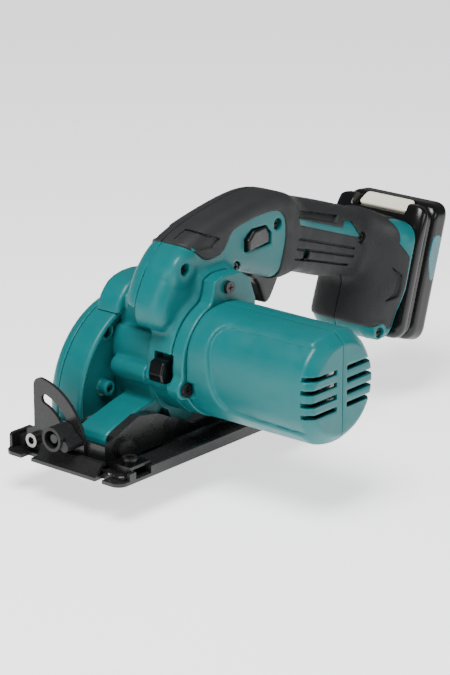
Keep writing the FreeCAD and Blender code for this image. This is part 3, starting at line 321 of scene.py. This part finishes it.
# The edge value sets the strength of a painted highlight on the convex edges of the black enamel.
enamel = new_material("black_enamel", (0.003, 0.003, 0.0033), 0.27, grain=0.25, grain_size=420.0, mottle=0.2,
                      specular=0.32, edge_highlight=0.3)
knob_grey = new_material("knob_grey", (0.008, 0.008, 0.0085), 0.45, specular=0.3, grain=0.5, grain_size=1500.0,
                         mottle=0.1)
zinc = new_material("zinc_plate", (0.26, 0.26, 0.25), 0.28, metallic=1.0, grain=0.15, grain_size=700.0)
black_oxide = new_material("black_oxide", (0.030, 0.029, 0.028), 0.28, metallic=0.7, grain=0.2, grain_size=900.0)
gear_steel = new_material("gear_steel", (0.40, 0.39, 0.37), 0.32, metallic=1.0, grain=0.2)
blade_steel = new_material("blade_steel", (0.46, 0.46, 0.45), 0.26, metallic=1.0, grain=0.25, grain_size=520.0)
cast_alloy = new_material("cast_alloy", (0.42, 0.42, 0.42), 0.48, metallic=1.0, grain=0.6, grain_size=1100.0)
copper = new_material("enamelled_copper", (0.45, 0.16, 0.05), 0.3, metallic=1.0, grain=0.5, grain_size=1300.0)
carbon = new_material("carbon_brush", (0.03, 0.03, 0.03), 0.5, grain=0.5)
cream = new_material("cream_button", (0.80, 0.77, 0.62), 0.38, grain=0.2, grain_size=1300.0, mottle=0.03)
cell_wrap = new_material("cell_wrap", (0.010, 0.011, 0.013), 0.35, grain=0.1)
label_teal = new_material("teal_label", (0.0, 0.11, 0.13), 0.3, mottle=0.04, coat=0.5)

SLOT_FINISH = {
    "case_teal": teal, "soft_grip": rubber, "black_plastic": satin_black, "battery_black": gloss_black,
    "button_cream": cream, "cell_wrap": cell_wrap, "black_enamel": enamel, "zinc_steel": zinc,
    "black_oxide": black_oxide, "gear_steel": gear_steel, "blade_steel": blade_steel, "cast_alloy": cast_alloy,
    "copper": copper, "carbon": carbon,
}


NODE_FINISH = {"bevel_clamp_stud": black_oxide, "bevel_clamp_knob": knob_grey, "depth_pivot_bolt": black_oxide,
               "gear_cover": teal}


def finish_cad_nodes():
    """Give every carried node the finish of its material slot."""
    for part in frame["record"]["subparts"]:
        piece = frame["nodes"][part["node"]]
        piece.data.materials.clear()
        piece.data.materials.append(NODE_FINISH.get(part["node"], SLOT_FINISH[part["material_slot"]]))


# ---------------------------------------------------------------- blade case
def below_case(x, z):
    """Height over the sloping mouth of the blade case."""
    slope = math.tan(math.radians(4.5))
    return z - 14.0 - (59.0 - x) * slope


def case_form(x, y, z):
    """Round blade case with rounded rims, a dished left wall and a room for the blade."""
    r = np.hypot(x - SPINDLE[0], z - SPINDLE[1])
    outside = meet(r - CASE_RADIUS, between(y, -39.0, 20.0), 9.0)
    outside = meet(outside, y + 13.8, 1.6)
    dish = meet(r - CASE_RADIUS + 3.2, -(y + 17.6), 1.5)
    room = meet(r - 50.5, between(y, -36.2, -20.0), 4.0)
    form = cut(outside, dish, 1.0)
    form = cut(form, room)
    floor = below_case(x, z)
    return meet(form, -floor, 1.0)


def make_blade_case():
    low, high = (-57, -41, 10), (61, -12, 86)

    def inner(x, y, z):
        f = case_form(x, y, z)
        f = join(f, meet(disc(x, z, CASE_LUG, 5.0), between(y, -29.6, -14.0), 1.5), 4.0)
        f = meet(f, CASE_SEAM_Y + 0.15 - y, 0.8)
        f = cut(f, disc(x, z, SPINDLE, 19.0) + 0 * y)
        f = join(f, meet(disc(x, z, (34.2, 30.4), 4.2), between(y, -18.5, -11.5), 0.8), 1.5)
        f = cut(f, meet(disc(x, z, (34.2, 30.4), 2.3), -15.5 - y), 0.4)
        f = join(f, meet(disc(x, z, CASE_SCREW, 5.0), between(y, -19.5, -16.2), 0.8), 1.0)
        return cut(f, meet(disc(x, z, CASE_SCREW, 3.5), -19.2 - y), 0.5)

    def cover(x, y, z):
        f = case_form(x, y, z)
        f = join(f, meet(disc(x, z, CASE_LUG, 5.0), between(y, -36.0, -30.0), 2.5), 4.0)
        f = meet(f, y - CASE_SEAM_Y + 0.15, 0.8)
        return cut(f, disc(x, z, SPINDLE, 19.5) + 0 * y, 1.0)

    moulded("upper_case_inner", inner, low, high, 0.8, teal, "saw", ["blade_case"])
    moulded("upper_case_cover", cover, low, high, 0.8, teal, "saw", ["blade_case_cover"])


# ---------------------------------------------------------------- gear housing
def make_gear_housing():
    arm = [(12, 30), (33, 27), (46, 23.4), (60, 20), (65.5, 16.5), (66.3, 9), (63, 4.0), (55, 3.4), (39, 8.6),
           (21, 18)]
    hump = [(28, 68), (26, 75), (23, 81), (16, 87.5), (3, 90), (-14, 88), (-30, 80), (-32, 66)]

    def field(x, y, z):
        f = meet(disc(x, z, MOTOR, 29.8), between(y, -17.3, 11.9), 1.6)
        f = cut(f, meet(64.6 - z, 17.5 - x, 2.0), 1.2)
        upper = outline([(-26, 55), (19.5, 55), (20.5, 80), (16, 84), (-26, 84)], x, z)
        f = join(f, meet(upper, between(y, -17.3, 8.0), 1.5), 2.0)
        f = join(f, meet(disc(x, z, SPINDLE, 17.5), between(y, -20.0, -4.0), 1.5), 2.0)
        skirt = outline([(-22, 26), (24, 22), (25.5, 38), (20, 46), (-22, 46)], x, z)
        f = join(f, meet(skirt, between(y, -17.3, 11.9), 2.0), 4.0)
        f = join(f, meet(outline(arm, x, z, 1), between(y, -8.0, 13.3), 1.6), 3.0)
        f = join(f, meet(disc(x, z, BOSS, 6.2), between(y, -13.5, 11.9), 1.2), 1.5)
        top = meet(outline(hump, x, z, 1), between(y, -28.8, -12.0), 3.0)
        f = join(f, cut(top, disc(x, z, SPINDLE, CASE_RADIUS + 0.2) + 0 * y, 0.4), 1.5)
        f = cut(f, meet(disc(x, z, (59.0, 10.0), 4.1), between(y, -20, 20)))
        f = cut(f, meet(np.hypot(x - MOTOR[0], z - MOTOR[1]) - 21.0, between(y, 2.0, 30.0)))
        return cut(f, meet(disc(x, z, SPINDLE, 11.0), between(y, -40.0, -4.0)))

    moulded("gear_casing", field, (-36, -31, 1), (70, 13.5, 93), 0.8, teal, "saw", ["gear_housing"])


# ---------------------------------------------------------------- handle
HANDLE_OUTLINE = [(10, 70), (28, 69.5), (34, 71.5), (35.5, 79), (33.5, 88), (26, 101.5), (13.5, 113.5), (-2, 119.5),
                  (-22, 124.0), (-45, 128.0), (-62, 128.8), (-76, 124.5), (-92, 117.5), (-120, 109.0), (-150, 98.5),
                  (-170, 92), (-168, 60), (-140, 60), (-124, 63), (-108, 68.5), (-95, 73), (-81, 77.5),
                  (-66, 76.5), (-50, 83), (-38, 87.5), (-26, 88), (-14, 80), (0, 76)]
SHOULDER = [(0, 66), (5, 84), (3, 94), (-3, 96.0), (-17.5, 95.8), (-26, 90.5), (-31.5, 77), (-30, 64)]
RUBBER_ZONE = [(38, 124.5), (21, 117), (12.5, 113.2), (6, 108.5), (1.5, 104.6), (-3, 102.5), (-10, 102.5),
               (-16, 104), (-20, 108), (-23, 113), (-27, 115.6), (-46, 118.6), (-62, 118.6), (-68, 115.5),
               (-71, 110), (-71, 100), (-68, 90), (-64.5, 80), (-60, 70), (-62, 40), (-110, 27), (-205, 27),
               (-205, 140), (38, 140)]
DIAMOND = [(10, 115.5), (1, 119.3), (-13.5, 113), (-8.5, 109), (8, 110.5)]
GROOVES = [((-84, 97), (-138, 79)), ((-82, 91.5), (-138, 74)), ((-80, 86), (-134, 69.5))]
STRIPE = [(-84.5, 108.4), (-127.5, 93.8), (-131, 97.0), (-137.5, 95.0), (-144.5, 84.0), (-129.0, 89.2),
          (-85.5, 104.6)]
WEDGE = [(-5, 1), (8, 1), (11.5, -5), (11, -16.5), (2.5, -23.5), (1.8, -34), (-5, -34)]
TOP_GROOVE = [(-83, 109.6), (-122, 97.6), (-126, 101.0), (-86, 113)]
FOOT_POCKET = [(13, -31), (6, -34.8), (5.2, -47.6), (13, -52), (9.5, -46), (9.5, -37)]
BUTTON_ROOM = [(-35.3, 99.9), (-58.7, 99.9), (-58.7, 106.8), (-54.3, 111.9), (-41.4, 111.9), (-35.3, 107.3)]
BUTTON_PLAN = [(-36, 100.6), (-58, 100.6), (-58, 106.4), (-54, 111.2), (-42, 111.2), (-36, 107)]
TRIGGER_PLAN = [(-57, 86.5), (-65, 88), (-83.5, 80.5), (-84, 74), (-79.5, 66.5), (-74.5, 59.5), (-70.5, 59.0),
                (-67.5, 66), (-64, 74), (-56.5, 79)]
LOCK_PLAN = [(27.3, 42.2), (36.0, 42.8), (36.8, 47.0), (34.8, 53.4), (31, 54.8), (27.3, 54.8)]
LOCK_ROOM = [(22.6, 41.4), (60, 41.4), (60, 57.4), (22.6, 57.4)]


def handle_form(x, y, z):
    """Head, grip and foot as one smooth body."""
    wide = ramp(x, -100.0, -74.0)
    left = HANDLE_MID + 16.0 + 3.0 * wide
    right = HANDLE_MID - 16.0 + 1.5 * wide
    plan = outline(HANDLE_OUTLINE, x, z, 2)
    f = meet(plan, y - left, 9.0 + 9.0 * (1 - wide))
    f = meet(f, right - y, 18.0)
    u, w = leaning(x, z)
    bulge = 2.0 * (1 - ramp(w, -66, -20))
    across = np.maximum(y - FOOT_MID - 28.0 - 4.5 * ramp(w, -66.0, -40.0), FOOT_MID - 26.5 - y)
    foot = meet(meet(u - 17.5 - bulge, across, 20.0), np.maximum(w + 3.2, -76.0 - w), 13.0)
    foot = join(foot, meet(disc(x, z, CHIN_SCREW, 4.6), between(y, 26.0, 34.6), 1.0), 3.0)
    f = join(f, foot, 10.0)
    return meet(f, -(u - 0.35), 0.8)


def head_form(x, y, z):
    """The left half's body with the drum, shoulder and bosses that meet the motor ring."""
    f = handle_form(x, y, z)
    drum = join(disc(x, z, MOTOR, 33.6), outline(SHOULDER, x, z), 5.0)
    f = join(f, meet(drum, between(y, *SHELL_DRUM_Y), 1.0), 6.0)
    f = join(f, meet(disc(x, z, BOSS, 6.2), between(y, *SHELL_DRUM_Y), 1.0), 2.0)
    f = join(f, meet(disc(x, z, HANDLE_SCREWS[0], 7.6), between(y, 10.0, 26.8), 3.0), 5.0)
    return meet(f, np.where(x > -100.0, y - SHELL_DRUM_Y[1], -60.0), 0.4)


def under_rubber(f, x, y, z):
    """The moulding is set back under the rubber, so that marks pressed into the rubber stay dark."""
    inner = meet(outline(RUBBER_ZONE, x, z, 1) + 2.0, 1.0 - outline(STRIPE, x, z), 0.5)
    u, w = leaning(x, z)
    inner = meet(meet(meet(inner, 3.3 - u), -60.0 - w), 1.5 - outline(WEDGE, u, w))
    return cut(f, meet(inner, -(f + 1.8)), 0.3)


def trigger_slot(x, y, z, bottom, sides):
    """Opening for the trigger in the underside of the handle."""
    plan = [(-56, bottom), (-89, bottom), (-89, 84), (-80, 88.5), (-62, 88.5), (-56, 84)]
    return meet(outline(plan, x, z, 1), between(y, *sides))


def shell_holes(f, x, y, z, side):
    """Recesses and slots that go through one half of the handle."""
    floor = 18.2 - y if side > 0 else y + 6.0
    for place in HANDLE_SCREWS:
        f = cut(f, meet(disc(x, z, place, 3.5), floor), 0.5)
    if side > 0:
        f = cut(f, meet(disc(x, z, CHIN_SCREW, 3.3), 31.5 - y), 0.4)
    return cut(f, trigger_slot(x, y, z, 50, (1.4, 13.6)), 0.5)


def make_handle():
    def left(x, y, z):
        f = under_rubber(head_form(x, y, z), x, y, z)
        f = meet(f, HANDLE_MID + HALF_GAP - y, 0.7)
        f = shell_holes(f, x, y, z, 1)
        f = cut(f, meet(outline(BUTTON_ROOM, x, z), 16.9 - y), 0.5)
        f = cut(f, meet(outline(LOCK_ROOM, x, z), between(y, 17.4, 29.4)), 0.4)
        return cut(f, meet(disc(x, z, MOTOR, CAN_ROOM), y - 60))

    def right(x, y, z):
        f = under_rubber(handle_form(x, y, z), x, y, z)
        f = meet(f, y - HANDLE_MID + HALF_GAP, 0.7)
        f = cut(f, meet(disc(x, z, SPINDLE, CASE_RADIUS + 8.0), y + 11.0), 1.0)
        f = cut(f, meet(12.0 - x, z - 80.0, 2.0), 2.5)
        return shell_holes(f, x, y, z, -1)

    moulded("handle_shell_left", left, (-181, 6, 14), (38, 43, 131), 0.9, teal, "saw",
            ["handle_left"])
    moulded("handle_shell_right", right, (-181, -22, 17), (38, 9, 131), 0.9, teal, "saw",
            ["handle_right"])

    def skin(x, y, z, side):
        """Rubber over one half; side is 1 for the left half and -1 for the right."""
        f = handle_form(x, y, z) - RUBBER_PROUD
        zone = outline(RUBBER_ZONE, x, z, 1)
        u, w = leaning(x, z)
        zone = meet(zone, 1.8 - u, 0.5)
        wedge = meet(outline(WEDGE, u, w), 16.0 - np.abs(y - FOOT_MID))
        zone = cut(zone, wedge, 0.5)
        zone = meet(zone, -68.5 - w, 0.5)
        f = meet(f, zone, 1.6)
        f = meet(f, side * (7.5 + 0.06 * side - y), 0.8)
        for place in HANDLE_SCREWS:
            f = cut(f, disc(x, z, place, 3.7) + 0 * y, 0.8)
        f = cut(f, disc(x, z, CHIN_SCREW, 5.4) + 0 * y, 0.8)
        f = cut(f, trigger_slot(x, y, z, 40, (1.2, 13.8)), 0.6)
        outer = handle_form(x, y, z)
        marks = meet(outline(DIAMOND, x, z), 6.5 - np.abs(y - HANDLE_MID))
        f = cut(f, meet(marks, -(outer + 0.5)), 0.4)
        for a, b in GROOVES:
            f = cut(f, meet(bar(x, z, a, b, 0.6), -(outer + 0.5)), 0.3)
        f = cut(f, meet(outline(TOP_GROOVE, x, z), -(outer + 0.6)), 0.5)
        f = cut(f, meet(outline(STRIPE, x, z), -(outer + 5.0)), 0.4)
        f = cut(f, meet(outline(FOOT_POCKET, u, w), -(outer + 0.9)), 0.6)
        return meet(f, -(outer + 4.2))

    def left_skin(x, y, z):
        return skin(x, y, z, 1)

    def right_skin(x, y, z):
        return skin(x, y, z, -1)

    moulded("soft_grip_left", left_skin, (-181, 6, 17), (40, 43.5, 131), 0.75, rubber, "saw",
            ["grip_rubber_left"])
    moulded("soft_grip_right", right_skin, (-181, -22, 17), (40, 9, 131), 0.9, rubber, "saw",
            ["grip_rubber_right"])


# ---------------------------------------------------------------- motor
def cover_form(x, y, z):
    """A drum with slightly flattened sides, a bevelled end and a shallow side panel."""
    along = np.clip((y - 38.0) / 83.0, 0, 1)
    dx, dz = np.abs(x - MOTOR[0]), z - MOTOR[1]
    radius = np.hypot(dx, dz)
    narrowing = np.where(x < MOTOR[0], 3.6, 1.6)
    sides = np.maximum(dx - 31.9 + narrowing * along, np.abs(dz) - 32.6 + 0.8 * along)
    drum = meet(radius - 32.8 + 0.3 * along, sides, 5.0)
    arc = 32.6 * np.arctan2(dz, dx)
    panel = outline([(140, 31.6), (61, 31.8), (54.8, 29.6), (51.8, 23), (52.2, 14), (53.2, 6), (55.2, -4),
                     (58.6, -13.5), (66, -20.0), (140, -24.0)], y, arc, 1)
    drum = cut(drum, meet(panel, -(drum + 1.5)), 2.4)
    bevel = (radius - 25.3 - 0.95 * (COVER_Y[1] - y)) * 0.725
    return meet(drum, bevel, 1.0)


def make_motor():
    def flange(x, y, z):
        plan = join(disc(x, z, MOTOR, 33.3), outline(SHOULDER, x, z), 5.0)
        for place in FLANGE_SCREWS:
            plan = join(plan, disc(x, z, place, 5.6), 3.0)
        f = meet(plan, between(y, *RING_Y), 1.0)
        f = cut(f, meet(disc(x, z, MOTOR, CAN_ROOM), y - 90))
        return cut(f, meet(outline(LOCK_ROOM, x, z), y - 30.6), 0.4)

    moulded("motor_ring", flange, (-44, 28, 14), (36, 39, 98), 0.7, teal, "saw", ["motor_flange"])

    def cover(x, y, z):
        f = meet(cover_form(x, y, z), between(y, *COVER_Y), 1.2)
        room = meet(disc(x, z, MOTOR, 26.9), between(y, 40.0, 111.0), 2.0)
        end_room = meet(disc(x, z, MOTOR, 23.6), between(y, 100.0, 118.6), 1.0)
        f = cut(cut(f, room), end_room)
        for place in FLANGE_SCREWS:
            f = cut(f, meet(disc(x, z, place, 4.6), y - 43.0), 1.0)
        for k in range(4):
            height = 40.4 + 6.85 * k
            across = np.abs(np.abs(x - MOTOR[0] - 0.6) - 24.0) - 19.5
            slot = meet(across, between(z, height - 1.3, height + 1.3))
            f = cut(f, meet(slot, 114.5 - y), 0.35)
        return f

    def front(x, y, z):
        return meet(cover(x, y, z), MOTOR[0] + HALF_GAP - x, 0.6)

    def rear(x, y, z):
        return meet(cover(x, y, z), x - MOTOR[0] + HALF_GAP, 0.6)

    moulded("motor_shell_front", front, (-5, 36.5, 14), (33, 122.5, 86), 0.8, teal, "saw",
            ["motor_cover_front"])
    moulded("motor_shell_rear", rear, (-38, 36.5, 14), (0, 122.5, 86), 0.9, teal, "saw",
            ["motor_cover_rear"])


# ---------------------------------------------------------------- controls
def make_controls():
    def button(x, y, z):
        outer = 29.4 - 0.16 * (-36 - x) * (x > -60)
        return meet(outline(BUTTON_PLAN, x, z), between(y, 20.4, outer), 1.8)

    moulded("lock_off_key", button, (-61, 19, 98), (-33, 31, 114), 0.5, satin_black, "lock_off",
            ["lock_off_button"])

    def lock(x, y, z):
        return meet(outline(LOCK_PLAN, x, z), between(y, 18.4, 28.2), 1.2)

    moulded("spindle_lock_key", lock, (25, 15.5, 39), (40.5, 30, 61), 0.5, gloss_black, "shaft_lock",
            ["shaft_lock"])

    def trigger(x, y, z):
        return meet(outline(TRIGGER_PLAN, x, z, 1), between(y, 2.1, 12.9), 3.0)

    moulded("trigger_key", trigger, (-87, 0, 56), (-54, 15, 91), 0.6, satin_black, "trigger",
            ["trigger"])


def make_casing_screws():
    """Cross-head screws sunk into the bosses of the casings."""
    def head(x, y, z):
        f = meet(np.hypot(x, z) - 2.9, between(y, -6.0, 0.0), 1.0)
        a, b = np.abs(x), np.abs(z)
        cross = np.minimum(np.maximum(a - 0.45, b - 1.8), np.maximum(b - 0.45, a - 1.8))
        return cut(f, meet(cross, -1.3 - y), 0.15)

    shape, quads = surface_net(head, (-3.5, -6.8, -3.5), (3.5, 0.8, 3.5), 0.22)
    places = [(x, y, z, 1, 1.0) for (x, z), y in zip(HANDLE_SCREWS, SCREW_TOPS)]
    places += [(CASE_SCREW[0], -17.6, CASE_SCREW[1], 1, 0.5), (CHIN_SCREW[0], 33.6, CHIN_SCREW[1], 1, 1.0),
               (CASE_LUG[0], -36.9, CASE_LUG[1], -1, 1.0)]
    points = np.concatenate([shape * (way, way * depth, 1) + (x, y, z) for x, y, z, way, depth in places])
    faces = np.concatenate([quads + i * len(shape) for i in range(len(places))])
    piece = new_mesh("casing_screw_heads", points, faces, black_oxide)
    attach(piece, "saw")
    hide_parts("casing_screws")


# ---------------------------------------------------------------- battery
def battery_form(x, y, z):
    """Slab with a bevelled front edge and a top that falls slightly to the rear."""
    u, w = leaning(x, z)
    top = np.maximum(z - 96.4 - 0.09 * (x + 186.0), (z - 90.6 + x + 178.4) * 0.707)
    return meet(np.abs(y - FOOT_MID) - 33.0, np.maximum(-73.2 - w, top), 9.0), u


def button_plane(x, z):
    """Height over the sloping face of the release button, and distance along it from its lower edge."""
    dx, dz = -185.8 - x, z - 91.1
    return dz * 0.894 - dx * 0.447, dx * 0.894 + dz * 0.447


def button_recess(f, x, y, z):
    height, along = button_plane(x, z)
    side = np.abs(y - FOOT_MID)
    f = cut(f, meet(side - 19.6, -np.minimum(z - 90.7, height), 2.0), 0.6)
    return cut(f, meet(meet(side - 18.3, between(along, -2.2, 11.2), 2.0), -5.6 - height), 0.3)


def make_battery():
    def front(x, y, z):
        plan, u = battery_form(x, y, z)
        slab = meet(plan, between(u, -10.0, -0.35), 4.5)
        inset = meet(plan + 1.6, between(u, -12.6, -8.0), 0.3)
        w = leaning(x, z)[1]
        neck = meet(meet(np.abs(y - FOOT_MID) - 19.9, between(w, -60.8, -4.2), 2.0), between(u, -2.0, 8.0), 1.0)
        return button_recess(join(join(slab, inset), neck), x, y, z)

    def rear(x, y, z):
        plan, u = battery_form(x, y, z)
        slab = meet(plan, between(u, -27.8, -12.9), 4.5)
        return button_recess(slab, x, y, z)

    low, high = (-216, -26, 10), (-148, 44, 102)
    moulded("battery_shell_front", front, low, high, 0.9, gloss_black, "battery",
            ["battery_front"])
    moulded("battery_shell_rear", rear, low, high, 0.9, gloss_black, "battery", ["battery_rear"])

    def key(x, y, z):
        height, along = button_plane(x, z)
        plan = meet(np.abs(y - FOOT_MID) - 17.8, between(along, -0.1, 10.5), 3.0)
        f = meet(plan, between(height, -2.3, 0.9), 1.2)
        return cut(f, meet(np.abs(y - FOOT_MID - 12.0) - 0.3, 0.5 - height), 0.2)

    moulded("battery_release_key", key, (-200, -12, 84), (-180, 29, 101), 0.45, cream, "battery_button",
            ["battery_button"])

    def label(x, y, z):
        plan, u = battery_form(x, y, z)
        strip = outline([(-23.6, -8), (-16.4, -8), (-15.4, -17), (-16.0, -25), (-21.4, -37), (-24.6, -33),
                         (-24.8, -14)], u, leaning(x, z)[1], 1)
        return meet(meet(strip, plan - 0.35, 0.5), 30.0 - y)

    moulded("battery_label", label, low, high, 0.6, label_teal, "battery")


# ---------------------------------------------------------------- stage
def make_floor():
    bpy.ops.mesh.primitive_plane_add(size=6.0, location=(0, 0, -0.0215))
    floor = bpy.context.object
    floor.name = "floor"
    material = new_material("pale_floor", (0.90, 0.90, 0.90), 0.6, grain=0.05, mottle=0.005)
    shader = material.node_tree.nodes["Principled BSDF"]
    shader.inputs["Emission Color"].default_value = (1.0, 1.0, 1.0, 1.0)
    shader.inputs["Emission Strength"].default_value = 1.3
    floor.data.materials.append(material)


def area_light(name, place, target, size, energy):
    data = bpy.data.lights.new(name, "AREA")
    data.shape = "RECTANGLE"
    data.size, data.size_y = size
    data.energy = energy
    lamp = bpy.data.objects.new(name, data)
    lamp.location = place
    lamp.rotation_euler = (Vector(target) - Vector(place)).to_track_quat("-Z", "Y").to_euler()
    bpy.context.scene.collection.objects.link(lamp)


def make_light():
    world = bpy.data.worlds.new("studio")
    bpy.context.scene.world = world
    world.use_nodes = True
    world.node_tree.nodes["Background"].inputs["Color"].default_value = (0.95, 0.97, 1.0, 1)
    world.node_tree.nodes["Background"].inputs["Strength"].default_value = 0.2
    middle = (-0.05, 0.02, 0.06)
    area_light("key", (0.35, 0.15, 0.95), middle, (0.5, 0.5), 17.0)
    area_light("side", (-0.25, 1.1, 0.5), middle, (0.5, 0.35), 2.8)
    area_light("front", (1.1, -0.2, 0.35), middle, (0.3, 0.5), 2.6)


def make_camera():
    azimuth, elevation = 40.148, 18.264
    towards = Vector((math.cos(math.radians(azimuth)) * math.cos(math.radians(elevation)),
                      math.sin(math.radians(azimuth)) * math.cos(math.radians(elevation)),
                      math.sin(math.radians(elevation))))
    data = bpy.data.cameras.new("camera")
    data.lens = 143.83
    data.sensor_width = 36.0
    camera = bpy.data.objects.new("camera", data)
    camera.location = (1.06375, 0.93937, 0.52214)
    camera.rotation_euler = (-towards).to_track_quat("-Z", "Y").to_euler()
    bpy.context.scene.collection.objects.link(camera)
    bpy.context.scene.camera = camera


finish_cad_nodes()
make_camera()
make_light()
make_floor()
make_blade_case()
make_gear_housing()
make_handle()
make_motor()
make_controls()
make_casing_screws()
make_battery()
